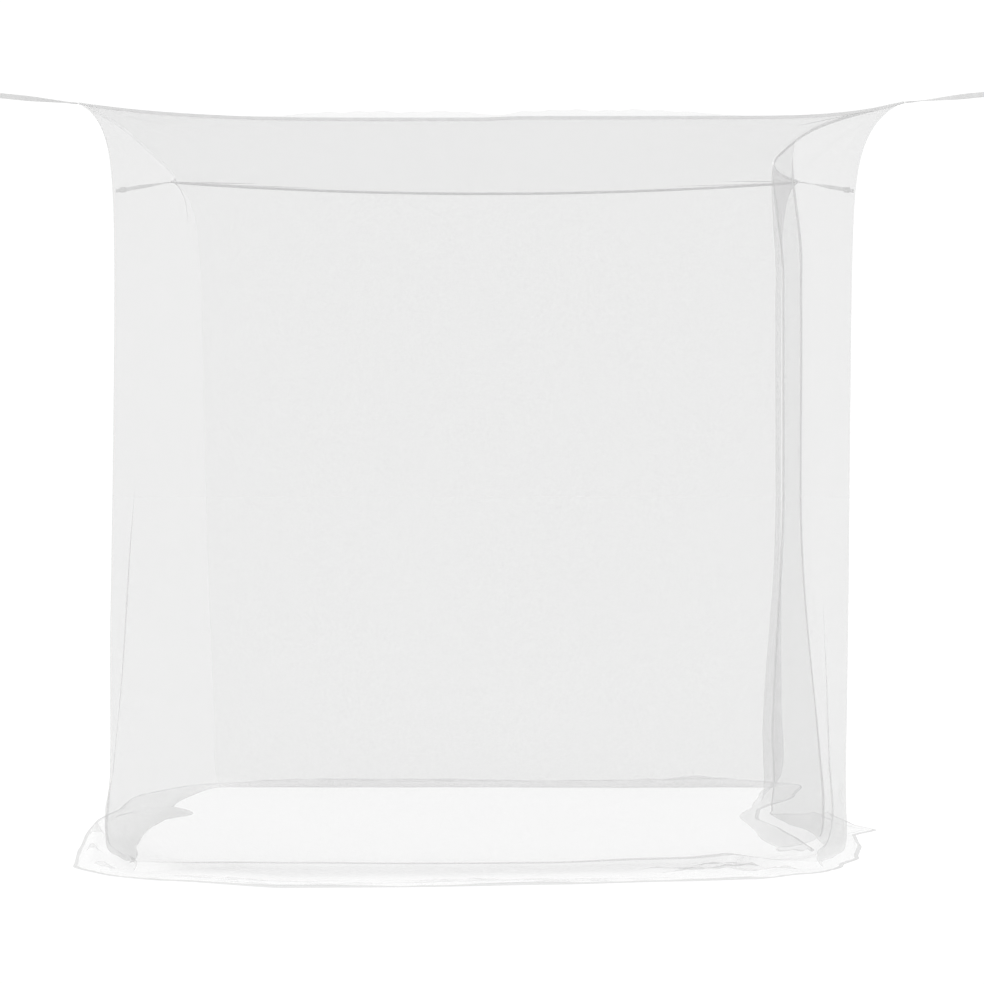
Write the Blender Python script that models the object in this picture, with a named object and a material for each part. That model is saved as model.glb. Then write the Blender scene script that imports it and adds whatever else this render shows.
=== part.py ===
"""Box mosquito net: a roof of netting stretched between four tips, walls that hang from it
and pool on the floor, an overlapped entrance on the right side, and a taut tape tie at
each tip. Metres, +Z up. The origin is on the floor under the middle of the roof, +X is the
net's right and the front faces -Y."""

import math

import bmesh
import bpy
from mathutils import Vector

# Driving dimensions
HALF_WIDTH = 2.10 / 2.0  # of the roof, from tip to tip
HALF_DEPTH = 1.90 / 2.0
HANG = 2.0  # height of the tips, for which the walls are planned
CLOTH = 0.002  # thickness of every netting sheet
GAP = 0.0004  # between pieces that are sewn to each other
SEAM_GAP = 0.0003  # between two walls along their corner seam
HEADING = 0.004  # how far the walls stand above the roof seam
ROOF_LIFT = 0.0008  # the roof's underside lies this far above the seam line
HEADING_FRILL = 0.012  # more seam allowance that stands up along the front
BINDING_TALL = 0.008
BINDING_THICK = 0.0016
TIE_WIDE = 0.013
TIE_THICK = 0.0016
TIE_REACH = 0.300  # from the tip to the end of the knot's tail
TIE_FALL = 0.020  # a tie falls this much for each metre outwards
TIP_CURL = 0.070  # over this drop the walls draw in below a tip
HUNG_FREE = 0.35  # over this drop a wall's middle comes to hang free of its seam
LEAF_SEAM_STEP = CLOTH + GAP  # the rear leaf is sewn in behind the front leaf
LEAF_APART = 0.012  # how far the leaves hang apart below the seam
LEAF_SWINGS = 0.15  # how far forward the rear leaf's hem swings at the foot, as a share of its side
TURN_OVER = 0.42  # the foot turns to the corner's diagonal over this length
CORNER_BULGE = 0.014  # how far the cloth stands out where it turns a corner
CORNER_BULGE_AT = 0.030  # the fraction of a side, from its corner, where that is
FOOT_STARTS = 1.00  # drop at which a wall starts to lean over to its foot's line
FOOT_DROP = 1.86  # drop at which the foot begins
NOSE = 0.005  # how far a fold's nose stands past the foot's own line
TIP_MITRE = 2.2  # a tip's binding reaches out at most this many times its offset
TAPE_EDGE = 0.4  # the bevel on a tie's edges, as a share of its half size
FRONT_CELLS = 26
SIDE_CELLS = 22
FRONT_LEAF_STARTS = 9  # cell of the right side where the front leaf's hem hangs
REAR_LEAF_ENDS = 14  # cell of the right side where the rear leaf's hem hangs

# The tips, clockwise from the back right. in_x and in_y are how far the wall's corner hangs
# inside its tip, foot_x and foot_y how much further in it is at the floor.
TIPS = {
    #               x,      y,      z,     in_x,  in_y,  foot_x, foot_y
    "back_right": (HALF_WIDTH, HALF_DEPTH, 2.010, 0.082, 0.060, 0.000, 0.000),
    "front_right": (HALF_WIDTH, -HALF_DEPTH, 1.995, 0.119, 0.100, 0.006, 0.130),
    "front_left": (-HALF_WIDTH, -HALF_DEPTH, 1.992, 0.089, 0.100, -0.040, 0.070),
    "back_left": (-HALF_WIDTH, HALF_DEPTH, 2.010, 0.110, 0.060, 0.055, 0.000),
}

# The sides of the roof, each from one tip to the next. bow is how far the top edge draws in
# at its deepest, which is at the fraction peak; near and far set how suddenly it does so at
# either end. hung is how much further in the middle hangs below the seam, and foot how much
# further in again it is at the floor.
SIDES = {
    #        from,          to,            bow,   sag,  peak, near, far,  hung,  foot
    "right": ("back_right", "front_right", 0.196, 0.022, 0.50, 1.8, 4.8, -0.035, -0.010),
    "front": ("front_right", "front_left", 0.080, 0.028, 0.50, 8.0, 4.4, 0.000, 0.090),
    "left": ("front_left", "back_left", 0.075, 0.026, 0.50, 8.0, 3.0, 0.000, -0.045),
    "back": ("back_left", "back_right", 0.060, 0.045, 0.50, 2.0, 2.0, 0.000, -0.010),
}

# How each wall lies at its foot, in rows from its first end to its last. at is the fraction
# along the side, inner how far the cloth runs in before it folds back, outer where its hem
# lies outside the wall, lift the height of the upper layer, roll how far the cloth bulges
# just above the floor, and shift how far the whole foot is moved in.
FEET = {
    "front_leaf": (
        # at,   inner, outer,  lift,  roll,  shift
        (0.350, 0.000, 0.185, 0.012, 0.006, 0.040),
        (0.500, 0.000, 0.190, 0.014, 0.010, 0.000),
        (0.565, 0.000, 0.205, 0.014, 0.012, -0.036),
        (0.630, 0.000, 0.115, 0.014, 0.010, -0.046),
        (0.740, 0.008, 0.100, 0.016, 0.010, -0.045),
        (0.860, 0.030, 0.080, 0.020, 0.008, -0.020),
        (0.940, 0.050, 0.020, 0.026, 0.006, 0.000),
        (1.000, 0.070, -0.030, 0.030, 0.006, 0.000),
    ),
    "front": (
        (0.00, 0.070, -0.030, 0.030, 0.006, 0.000),
        (0.06, 0.130, 0.000, 0.028, 0.006, 0.000),
        (0.13, 0.220, 0.065, 0.034, 0.006, 0.000),
        (0.22, 0.190, 0.095, 0.022, 0.004, 0.000),
        (0.40, 0.140, 0.145, 0.014, 0.002, 0.000),
        (0.60, 0.135, 0.180, 0.014, 0.002, 0.000),
        (0.76, 0.145, 0.190, 0.016, 0.004, 0.000),
        (0.90, 0.130, 0.090, 0.020, 0.006, 0.000),
        (1.00, 0.080, 0.010, 0.036, 0.012, 0.000),
    ),
    "left": (
        (0.00, 0.080, 0.010, 0.036, 0.012, 0.000),
        (0.10, 0.055, 0.105, 0.030, 0.010, 0.000),
        (0.25, 0.025, 0.130, 0.024, 0.010, 0.000),
        (0.45, 0.020, 0.155, 0.018, 0.012, 0.000),
        (0.57, 0.040, 0.160, 0.016, 0.008, 0.000),
        (0.63, 0.110, 0.150, 0.016, 0.006, 0.000),
        (0.70, 0.030, 0.130, 0.014, 0.006, 0.000),
        (0.85, 0.020, 0.150, 0.014, 0.006, 0.000),
        (1.00, 0.020, 0.090, 0.014, 0.008, 0.000),
    ),
    "back": (
        (0.00, 0.020, 0.090, 0.014, 0.008, 0.000),
        (0.20, 0.020, 0.200, 0.012, 0.004, 0.000),
        (0.45, 0.016, 0.160, 0.012, 0.004, 0.000),
        (0.70, 0.020, 0.150, 0.012, 0.004, 0.000),
        (0.88, 0.024, 0.210, 0.018, 0.006, 0.000),
        (1.00, 0.040, 0.100, 0.022, 0.010, 0.000),
    ),
    "rear_leaf": (
        (0.00, 0.040, 0.100, 0.022, 0.010, 0.000),
        (0.14, 0.050, 0.070, 0.024, 0.010, 0.010),
        (0.30, 0.036, -0.014, 0.018, 0.006, 0.036),
        (0.40, 0.066, -0.018, 0.018, 0.006, 0.048),
        (0.50, 0.100, -0.018, 0.016, 0.004, 0.005),
        (0.60, 0.128, -0.018, 0.014, 0.004, -0.022),
        (0.70, 0.120, -0.018, 0.014, 0.002, -0.033),
    ),
}

# Creases and soft folds that run down a wall: where one is at its top and at the floor, the
# drop at which it starts, how wide and how deep it is (outwards, or inwards if negative).
CREASES = {
    #              top,   floor, starts, wide,  deep
    "front": (
        (0.985, 0.998, 0.85, 0.020, 0.010),
        (0.020, 0.016, 1.15, 0.018, 0.010),
        (0.700, 0.740, 0.25, 0.090, 0.005),
        (0.330, 0.300, 0.45, 0.110, -0.006),
        (0.120, 0.150, 0.90, 0.050, 0.007),
    ),
    "left": (
        (0.200, 0.240, 0.30, 0.070, 0.008),
        (0.560, 0.620, 0.40, 0.080, -0.007),
        (0.850, 0.820, 0.20, 0.060, 0.006),
    ),
    "back": (
        (0.150, 0.120, 0.30, 0.060, 0.006),
        (0.520, 0.560, 0.40, 0.100, -0.006),
        (0.870, 0.900, 0.25, 0.060, 0.008),
    ),
    "front_leaf": (
        (0.700, 0.780, 0.05, 0.070, 0.012),
        (0.860, 0.820, 0.35, 0.060, -0.007),
    ),
    "rear_leaf": (
        (0.150, 0.180, 0.30, 0.060, 0.007),
        (0.420, 0.400, 0.40, 0.060, -0.005),
        (0.700, 0.780, 0.05, 0.070, 0.012),
    ),
}

# Drops below the roof seam at which a wall's rows lie, before its foot begins.
HUNG_ROWS = (0.0, 0.016, 0.040, 0.075, 0.125, 0.200, 0.340, 0.640, 1.060, 1.440, 1.740)

# The cloth that lies on the floor, from the fold's nose to the hem: the share of its run,
# and how far up its ripple it stands there.
FLOOR_RIPPLE = ((0.02, 0.0), (0.24, 0.0), (0.46, 0.0), (0.62, 1.0), (0.75, 0.0), (0.88, 0.6), (1.0, 0.0))

NETTING = ((0.86, 0.86, 0.86, 1.0), 0.9)
TAPE = ((0.80, 0.80, 0.80, 1.0), 0.8)


# ------------------------------------------------------------------ shape of a side
def between(a, b, t):
    return a + (b - a) * t


def smooth(t):
    t = min(max(t, 0.0), 1.0)
    return t * t * (3.0 - 2.0 * t)


def pull(t, peak, near, far):
    """0 at both tips and 1 at the peak: the outline of an edge stretched between two ties."""
    if t < peak:
        return 1.0 - (1.0 - t / peak) ** near
    return 1.0 - ((t - peak) / (1.0 - peak)) ** far


def drawn_in(drop):
    """0 at the seam and 1 where the cloth hangs free of the pull of the ties."""
    return 1.0 - math.exp(-((drop / TIP_CURL) ** 0.8))


def settled(drop):
    return (drop / HANG) ** 2


def corner_at(tip, drop):
    x, y, z, in_x, in_y, foot_x, foot_y = TIPS[tip]
    inset_x = in_x * drawn_in(drop) + foot_x * settled(drop)
    inset_y = in_y * drawn_in(drop) + foot_y * settled(drop)
    return Vector((x - math.copysign(inset_x, x), y - math.copysign(inset_y, y), z))


def side_frame(side):
    """The start, the end and the outward direction of a side, in plan."""
    start, end = (corner_at(tip, 0.0) for tip in SIDES[side][:2])
    along = (end - start).to_2d().normalized()
    return start, end, Vector((-along.y, along.x, 0.0))


def seam_height(side, t):
    start, end, _ = side_frame(side)
    sag, peak, near, far = SIDES[side][3:7]
    return between(start.z, end.z, t) - sag * pull(t, peak, near, far)


def corner_round(t):
    """A bulge that peaks a little way from a corner, so that the cloth turns it softly."""
    share = t / CORNER_BULGE_AT
    return share * math.exp(1.0 - share)


def plan_at(side, t, drop):
    """Where a wall hangs, in plan, at a fraction of its side and a drop below the seam."""
    _, _, outward = side_frame(side)
    first, last, bow, _, peak, near, far, hung, foot = SIDES[side]
    chord = corner_at(first, drop).lerp(corner_at(last, drop), t)
    seam_chord = corner_at(first, 0.0).lerp(corner_at(last, 0.0), t)
    chord_in = (seam_chord - chord).dot(outward)
    middle_in = bow + hung * smooth(drop / HUNG_FREE) + foot * settled(drop)
    inward = (middle_in - chord_in) * pull(t, peak, near, far)
    rounding = CORNER_BULGE * drawn_in(drop) * (corner_round(t) + corner_round(1.0 - t))
    at = chord - outward * (inward - rounding)
    return Vector((at.x, at.y, 0.0))


def crease_at(wall, t, drop):
    total = 0.0
    for top, floor, starts, wide, deep in CREASES[wall]:
        grown = smooth((drop - starts) / 0.6)
        centre = between(top, floor, drop / HANG)
        total += deep * grown * math.exp(-(((t - centre) / wide) ** 2))
    return total


def lie_at(wall, t):
    """The row of the wall's foot table at t, eased between its neighbours."""
    rows = FEET[wall]
    for low, high in zip(rows, rows[1:]):
        if t <= high[0] + 1e-9:
            share = smooth((t - low[0]) / (high[0] - low[0]))
            return [between(a, b, share) for a, b in zip(low[1:], high[1:])]
    return list(rows[-1][1:])


def spread_direction(side, t, cells_seen):
    """The way in which the foot spreads: straight out, but along the diagonal at a corner."""
    start, end, outward = side_frame(side)
    length = (end - start).to_2d().length
    along = (end - start).normalized()
    to_start, to_end = t * length, (1.0 - t) * length
    turn = 0.0
    if cells_seen[0]:
        turn -= max(0.0, 1.0 - to_start / TURN_OVER) ** 1.4
    if cells_seen[1]:
        turn += max(0.0, 1.0 - to_end / TURN_OVER) ** 1.4
    angle = turn * math.pi / 4.0
    return (outward * math.cos(angle) + along * math.sin(angle)).normalized()


def foot_section(inner, outer, lift, roll, ripple):
    """(distance outwards, height) of the middle of the cloth, from the hung wall to the hem."""
    flat = CLOTH / 2.0
    upper = (
        (0.70 * roll, 0.165),
        (1.00 * roll, 0.115),
        (0.60 * roll, 0.075),
        (-0.06 * inner, 0.030 + 0.8 * lift),
        (-0.32 * inner, lift + 0.012),
        (-0.64 * inner, 0.8 * lift + 0.004),
        (-0.92 * inner, 0.7 * lift + 0.003),
        (-1.00 * inner - NOSE, 0.4 * lift + 0.001),
    )
    run = outer + inner
    lower = []
    for share, height in FLOOR_RIPPLE:
        reach = -inner + share * run
        clear = smooth((reach - 0.012) / 0.03)
        lower.append((reach, flat + height * ripple * clear))
    return upper + tuple(lower)


# ------------------------------------------------------------------ the ring of cloth
def side_stops(side):
    """Fractions along a side, closer together near its tips."""
    cells = FRONT_CELLS if side in ("front", "back") else SIDE_CELLS
    even = [i / cells for i in range(cells + 1)]
    return [between(0.5 - 0.5 * math.cos(math.pi * t), t, 0.25) for t in even]


def leaf_step(wall, t, drop):
    """How far inside the front leaf the rear leaf hangs."""
    if wall != "rear_leaf":
        return 0.0
    meets = side_stops("right")[FRONT_LEAF_STARTS]
    overlap = smooth((t - 0.35 * meets) / (0.60 * meets))
    below = (LEAF_APART - LEAF_SEAM_STEP) * smooth((drop - 0.01) / 0.5)
    return overlap * (LEAF_SEAM_STEP + below)


def swung(wall, t, drop):
    """Where along the side a wall hangs. The rear leaf's free edge swings forward as it falls."""
    if wall != "rear_leaf":
        return t
    ends = side_stops("right")[REAR_LEAF_ENDS]
    return t + LEAF_SWINGS * (t / ends) ** 2 * (drop / HANG) ** 4


def heading_at(wall, t):
    """How far the seam allowance stands above the seam. It shows most along the front."""
    frill = 0.0
    if wall == "front":
        frill = smooth(8.0 * (t - 0.18)) * smooth(8.0 * (0.80 - t))
        frill *= 1.0 - 0.7 * math.exp(-(((t - 0.49) / 0.025) ** 2))
    return HEADING + HEADING_FRILL * frill


def wall_column(wall, side, t, turned):
    """The middle of the cloth down one line of a wall, from its heading to its hem."""
    _, _, outward = side_frame(side)
    seam = seam_height(side, t)
    points = [plan_at(side, t, 0.0) - outward * leaf_step(wall, t, 0.0)]
    points[0].z = seam + heading_at(wall, t)
    for drop in HUNG_ROWS:
        along = swung(wall, t, drop)
        push = crease_at(wall, along, drop) - leaf_step(wall, along, drop)
        at = plan_at(side, along, drop) + outward * push
        at.z = seam * (1.0 - drop / HANG)
        points.append(at)
    inner, outer, lift, roll, shift = lie_at(wall, t)
    along = swung(wall, t, FOOT_DROP)
    push = crease_at(wall, along, FOOT_DROP) - leaf_step(wall, along, FOOT_DROP)
    base = plan_at(side, along, FOOT_DROP) + outward * (push - shift)
    # The hung rows lean over to the foot's own line in the last stretch.
    for i, hung in enumerate(HUNG_ROWS):
        points[i + 1] -= outward * shift * smooth((hung - FOOT_STARTS) / (FOOT_DROP - FOOT_STARTS))
    out = spread_direction(side, t, turned)
    ripple = 0.007 + 0.005 * math.sin(41.0 * t + 1.3) * math.sin(17.0 * t + 0.4)
    for reach, height in foot_section(inner, outer, lift, roll, ripple):
        at = base + out * reach
        at.z = height
        points.append(at)
    return points


def wall_grid(wall, side, first_cell, last_cell, turned):
    stops = side_stops(side)[first_cell : last_cell + 1]
    return [wall_column(wall, side, t, turned) for t in stops]


def row_normals(grid, before=None, after=None):
    """Outward normals at the points of a grid. before and after are the columns of the
    neighbouring walls, so that two walls share one mitre along their seam."""
    columns = ([before] if before else []) + grid + ([after] if after else [])
    offset = 1 if before else 0
    normals = []
    for c in range(len(grid)):
        i = c + offset
        column = []
        for r in range(len(grid[c])):
            up, down = columns[i][max(r - 1, 0)], columns[i][min(r + 1, len(grid[c]) - 1)]
            fall = down - up
            sides = []
            if i > 0:
                sides.append((columns[i][r] - columns[i - 1][r]).cross(fall))
            if i < len(columns) - 1:
                sides.append((columns[i + 1][r] - columns[i][r]).cross(fall))
            sides = [side.normalized() for side in sides]
            mean = sum(sides, Vector()).normalized()
            stretch = 1.0 / max(mean.dot(sides[0]), 0.45)
            column.append(mean * stretch)
        normals.append(column)
    return normals


def off_mitre(point, own, other):
    """The point moved towards own, so that it lies half a seam gap off the mitre plane
    between own and other."""
    along, away = (own - point).normalized(), (other - point).normalized()
    across = (along - away).normalized()
    return point + along * (0.6 * SEAM_GAP / max(along.dot(across), 0.08))


def seam_shift(grid, beyond, at_start):
    """Pulls a wall's end back from the corner seam. beyond is its neighbour's next column."""
    end, near = (grid[0], grid[1]) if at_start else (grid[-1], grid[-2])
    for r in range(len(end)):
        end[r] = off_mitre(end[r], near[r], beyond[r])


# ------------------------------------------------------------------ solids from grids
def material(name, finish):
    colour, roughness = finish
    made = bpy.data.materials.new(name)
    made.use_nodes = True
    shader = made.node_tree.nodes["Principled BSDF"]
    shader.inputs["Base Color"].default_value = colour
    shader.inputs["Roughness"].default_value = roughness
    shader.inputs["Metallic"].default_value = 0.0
    return made


def add_object(name, mesh, finish):
    mesh.materials.append(material(name, finish))
    mesh.shade_smooth()
    made = bpy.data.objects.new(name, mesh)
    bpy.context.collection.objects.link(made)
    return made


def sheet_solid(name, outer, inner, finish):
    """One closed sheet between two grids of points, the outer face first."""
    made = bmesh.new()
    faces = []
    for grid in (outer, inner):
        faces.append([[made.verts.new(point) for point in column] for column in grid])
    over, under = faces
    columns, rows = len(over), len(over[0])
    for c in range(columns - 1):
        for r in range(rows - 1):
            made.faces.new((over[c][r], over[c + 1][r], over[c + 1][r + 1], over[c][r + 1]))
            made.faces.new((under[c][r], under[c][r + 1], under[c + 1][r + 1], under[c + 1][r]))
    rim = [(c, 0) for c in range(columns)]
    rim += [(columns - 1, r) for r in range(1, rows)]
    rim += [(c, rows - 1) for c in range(columns - 2, -1, -1)]
    rim += [(0, r) for r in range(rows - 2, 0, -1)]
    for (c0, r0), (c1, r1) in zip(rim, rim[1:] + rim[:1]):
        made.faces.new((over[c1][r1], over[c0][r0], under[c0][r0], under[c1][r1]))
    bmesh.ops.triangulate(made, faces=made.faces[:])
    bmesh.ops.recalc_face_normals(made, faces=made.faces[:])
    mesh = bpy.data.meshes.new(name)
    made.to_mesh(mesh)
    made.free()
    return add_object(name, mesh, finish)


def on_floor(point):
    return Vector((point.x, point.y, max(point.z, 0.0)))


def wall_solid(name, grid, normals):
    half = CLOTH / 2.0
    outer, inner = [], []
    for points, outs in zip(grid, normals):
        outer.append([on_floor(p + n * half) for p, n in zip(points, outs)])
        inner.append([on_floor(p - n * half) for p, n in zip(points, outs)])
    return sheet_solid(name, outer, inner, NETTING)


# ------------------------------------------------------------------ walls
WALLS = (
    # wall,        side,    first cell,        last cell,   turned at its start, at its end
    ("front_leaf", "right", FRONT_LEAF_STARTS, SIDE_CELLS, (False, True)),
    ("front", "front", 0, FRONT_CELLS, (True, True)),
    ("left", "left", 0, SIDE_CELLS, (True, True)),
    ("back", "back", 0, FRONT_CELLS, (True, True)),
    ("rear_leaf", "right", 0, REAR_LEAF_ENDS, (True, False)),
)
NODE_OF = {
    "front_leaf": "right_front_leaf",
    "front": "front_wall",
    "left": "left_wall",
    "back": "back_wall",
    "rear_leaf": "right_rear_leaf",
}


def build_walls():
    grids = [wall_grid(*row) for row in WALLS]
    for i, row in enumerate(WALLS):
        before = grids[i - 1][-2] if i > 0 else None
        after = grids[i + 1][1] if i < len(WALLS) - 1 else None
        normals = row_normals(grids[i], before, after)
        placed = [list(column) for column in grids[i]]
        if before:
            seam_shift(placed, before, at_start=True)
        if after:
            seam_shift(placed, after, at_start=False)
        wall_solid(NODE_OF[row[0]], placed, normals)


# ------------------------------------------------------------------ roof and binding
def seam_ring():
    """The roof seam all round: (side, t, point), each tip once, clockwise."""
    ring = []
    for side in ("right", "front", "left", "back"):
        for t in side_stops(side)[:-1]:
            point = plan_at(side, t, 0.0)
            point.z = seam_height(side, t)
            ring.append((side, t, point))
    return ring


def ring_normals(ring):
    """Outward mitred normals in plan, so that a line moved along them stays parallel."""
    normals = []
    count = len(ring)
    for i in range(count):
        here = ring[i][2]
        before = (here - ring[i - 1][2]).to_2d().normalized()
        after = (ring[(i + 1) % count][2] - here).to_2d().normalized()
        left = [Vector((-way.y, way.x, 0.0)) for way in (before, after)]
        mean = (left[0] + left[1]).normalized()
        normals.append(mean / max(mean.dot(left[0]), 0.05))
    return normals


def build_roof():
    ring = seam_ring()
    normals = ring_normals(ring)
    edge = []
    for (side, t, point), out in zip(ring, normals):
        reach = CLOTH / 2.0 + GAP
        if side == "right" and t <= side_stops("right")[REAR_LEAF_ENDS] + 1e-9:
            reach += leaf_step("rear_leaf", t, 0.0)
        edge.append(point - out * reach)
    n, m = SIDE_CELLS, FRONT_CELLS
    right = [edge[i] for i in range(n + 1)]
    front = [edge[n + i] for i in range(m + 1)]
    left = [edge[n + m + i] for i in range(n + 1)]
    back = [edge[(2 * n + m + i) % len(edge)] for i in range(m + 1)]
    sides, widths = side_stops("right"), side_stops("front")
    middle = []
    for i, across in enumerate(widths):
        column = []
        for j, along in enumerate(sides):
            # i runs from right to left and j from back to front
            top, foot = back[m - i], front[i]
            near, far = right[j], left[n - j]
            corners = back[m].lerp(back[0], across).lerp(front[0].lerp(front[m], across), along)
            column.append(top.lerp(foot, along) + near.lerp(far, across) - corners)
        middle.append(column)
    low, high = Vector((0.0, 0.0, ROOF_LIFT)), Vector((0.0, 0.0, ROOF_LIFT + CLOTH))
    over = [[p + high for p in column] for column in middle]
    under = [[p + low for p in column] for column in middle]
    return sheet_solid("roof_panel", over, under, NETTING)


RING_STARTS = {
    "right": 0,
    "front": SIDE_CELLS,
    "left": SIDE_CELLS + FRONT_CELLS,
    "back": 2 * SIDE_CELLS + FRONT_CELLS,
}
BINDING_NEAR = CLOTH / 2.0 + GAP  # from the middle of the wall's cloth to the tape
BINDING_FAR = BINDING_NEAR + BINDING_THICK
BINDING_ROWS = (0.4 * BINDING_TALL, -0.6 * BINDING_TALL)  # its edges, from the seam


def binding_line(side):
    """The seam line of a side, pulled back from both tips, and its mitred normals."""
    ring = seam_ring()
    normals = [n.normalized() * min(n.length, TIP_MITRE) for n in ring_normals(ring)]
    start, count = RING_STARTS[side], len(side_stops(side))
    picked = [(start + i) % len(ring) for i in range(count)]
    line = [ring[k][2].copy() for k in picked]
    line[0] = off_mitre(line[0], line[1], ring[start - 1][2])
    line[-1] = off_mitre(line[-1], line[-2], ring[(start + count) % len(ring)][2])
    return line, [normals[k] for k in picked]


def build_bindings():
    for side in RING_STARTS:
        outer, inner = [], []
        for point, out in zip(*binding_line(side)):
            edges = [point + Vector((0.0, 0.0, z)) for z in BINDING_ROWS]
            outer.append([edge + out * BINDING_FAR for edge in edges])
            inner.append([edge + out * BINDING_NEAR for edge in edges])
        sheet_solid(f"binding_{side}", outer, inner, TAPE)


# ------------------------------------------------------------------ ties
# Stations along a tie as fractions of its reach: how wide and thick the tape is there, and
# how far it has turned from lying flat. The knot is the swelling near the end, and the tail
# beyond it is the tie's cut end.
TIE_STATIONS = (
    # at,   wide, thick, turn in degrees
    (0.00, 1.00, 1.8, 0),
    (0.05, 1.00, 1.8, 0),
    (0.07, 1.00, 1.0, 0),
    (0.16, 1.00, 1.0, 8),
    (0.26, 0.94, 1.0, 24),
    (0.36, 0.90, 1.0, 46),
    (0.46, 0.94, 1.0, 68),
    (0.56, 1.00, 1.0, 86),
    (0.62, 1.00, 1.0, 90),
    (0.80, 1.00, 1.0, 90),
    (0.815, 1.10, 5.0, 90),
    (0.84, 1.40, 9.0, 90),
    (0.865, 1.20, 7.0, 90),
    (0.89, 1.45, 9.5, 90),
    (0.915, 1.05, 5.0, 90),
    (0.93, 0.90, 1.2, 90),
    (1.00, 1.00, 1.0, 90),
)


def tie_starts_at(tip, out):
    """How far from its tip a tie starts: just clear of both bindings that end there."""
    reach = 0.0
    for side in RING_STARTS:
        line, outs = binding_line(side)
        first, last = SIDES[side][:2]
        for end, end_tip in ((0, first), (-1, last)):
            if end_tip == tip:
                corner = line[end] + outs[end] * BINDING_FAR
                reach = max(reach, (corner - Vector(TIPS[tip][:3])).dot(out))
    return reach + SEAM_GAP


def build_tie(tip):
    x, y, z = TIPS[tip][:3]
    level = Vector((math.copysign(1.0, x), math.copysign(1.0, y), 0.0)).normalized()
    out = (level - Vector((0.0, 0.0, TIE_FALL))).normalized()
    across = Vector((-level.y, level.x, 0.0))
    start = tie_starts_at(tip, out)
    made = bmesh.new()
    rings = []
    for at, wide, thick, turn in TIE_STATIONS:
        centre = Vector((x, y, z)) + out * (start + at * (TIE_REACH - start))
        angle = math.radians(turn)
        flat = across * math.cos(angle) + out.cross(across) * math.sin(angle)
        face = out.cross(flat)
        w, h = TIE_WIDE * wide / 2.0, TIE_THICK * thick / 2.0
        edge = TAPE_EDGE * min(w, h)
        section = ((w - edge, h), (-w + edge, h), (-w, h - edge), (-w, -h + edge))
        section += ((-w + edge, -h), (w - edge, -h), (w, -h + edge), (w, h - edge))
        rings.append([made.verts.new(centre + flat * a + face * b) for a, b in section])
    for low, high in zip(rings, rings[1:]):
        for i in range(len(low)):
            j = (i + 1) % len(low)
            made.faces.new((low[i], low[j], high[j], high[i]))
    made.faces.new(rings[0][::-1])
    made.faces.new(rings[-1])
    bmesh.ops.recalc_face_normals(made, faces=made.faces[:])
    mesh = bpy.data.meshes.new(f"tie_{tip}")
    made.to_mesh(mesh)
    made.free()
    return add_object(f"tie_{tip}", mesh, TAPE)


for old in list(bpy.data.objects):
    bpy.data.objects.remove(old)
build_walls()
build_roof()
build_bindings()
for corner in TIPS:
    build_tie(corner)
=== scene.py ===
import math

import bpy
import numpy as np
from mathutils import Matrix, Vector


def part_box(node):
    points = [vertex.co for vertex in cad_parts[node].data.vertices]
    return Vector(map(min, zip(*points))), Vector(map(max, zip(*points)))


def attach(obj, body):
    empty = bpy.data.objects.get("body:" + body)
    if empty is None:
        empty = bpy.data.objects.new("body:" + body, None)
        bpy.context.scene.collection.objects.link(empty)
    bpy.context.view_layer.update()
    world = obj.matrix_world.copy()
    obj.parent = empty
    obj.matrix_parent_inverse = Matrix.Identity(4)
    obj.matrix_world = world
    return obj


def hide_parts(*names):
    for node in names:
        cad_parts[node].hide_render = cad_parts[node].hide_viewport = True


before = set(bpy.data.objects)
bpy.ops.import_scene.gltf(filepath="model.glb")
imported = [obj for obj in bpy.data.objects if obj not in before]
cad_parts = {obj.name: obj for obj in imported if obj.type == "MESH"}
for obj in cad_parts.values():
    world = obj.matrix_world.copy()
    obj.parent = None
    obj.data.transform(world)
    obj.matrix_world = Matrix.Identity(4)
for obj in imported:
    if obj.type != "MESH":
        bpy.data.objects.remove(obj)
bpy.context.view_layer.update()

# ---------------------------------------------------------------- the view
# The net is seen nearly straight on, from a little over half its height. The lens is
# shifted a little, because the net's vanishing point lies left of and above the middle.
IMAGE = 984
FOCAL_PIXELS = 2408
VANISHING_X, VANISHING_Y = 465, 458
SENSOR = 36.0
EYE = (-0.0675, -7.08, 1.09)

lens = bpy.data.cameras.new("view")
lens.sensor_width = SENSOR
lens.lens = SENSOR * FOCAL_PIXELS / IMAGE
lens.shift_x = (IMAGE / 2 - VANISHING_X) / IMAGE
lens.shift_y = (VANISHING_Y - IMAGE / 2) / IMAGE
camera = bpy.data.objects.new("view", lens)
camera.location = EYE
camera.rotation_euler = (math.pi / 2, 0.0, 0.0)
bpy.context.collection.objects.link(camera)
bpy.context.scene.camera = camera

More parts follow.
